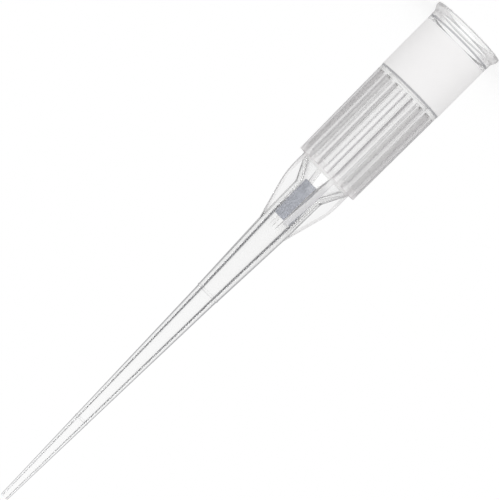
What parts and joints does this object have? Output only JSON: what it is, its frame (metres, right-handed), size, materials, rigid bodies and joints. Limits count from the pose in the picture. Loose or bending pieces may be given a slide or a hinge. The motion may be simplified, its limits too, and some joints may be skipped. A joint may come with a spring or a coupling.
{
  "type": "filter pipette tip",
  "caption": "Clear disposable pipette tip with a seal collar, ribbed skirt, guide fins and a fine tapered channel, with a porous filter plug in its neck.",
  "frame": {"origin": "centre of the mouth plane, which the tip stands on", "axes": "+Z along the tip's axis from the mouth to the fine end; one fin and its rib lie on +X, the others follow every quarter turn"},
  "size_m": [0.0064, 0.0064, 0.05],
  "materials": {
    "clear_plastic": "clear moulded polypropylene, polished outside, with a fine frosted band on the seal collar",
    "filter_media": "matte, finely granular sintered polyethylene"
  },
  "bodies": {
    "root": {"tip_body": "clear_plastic", "filter_plug": "filter_media"}
  },
  "joints": []
}
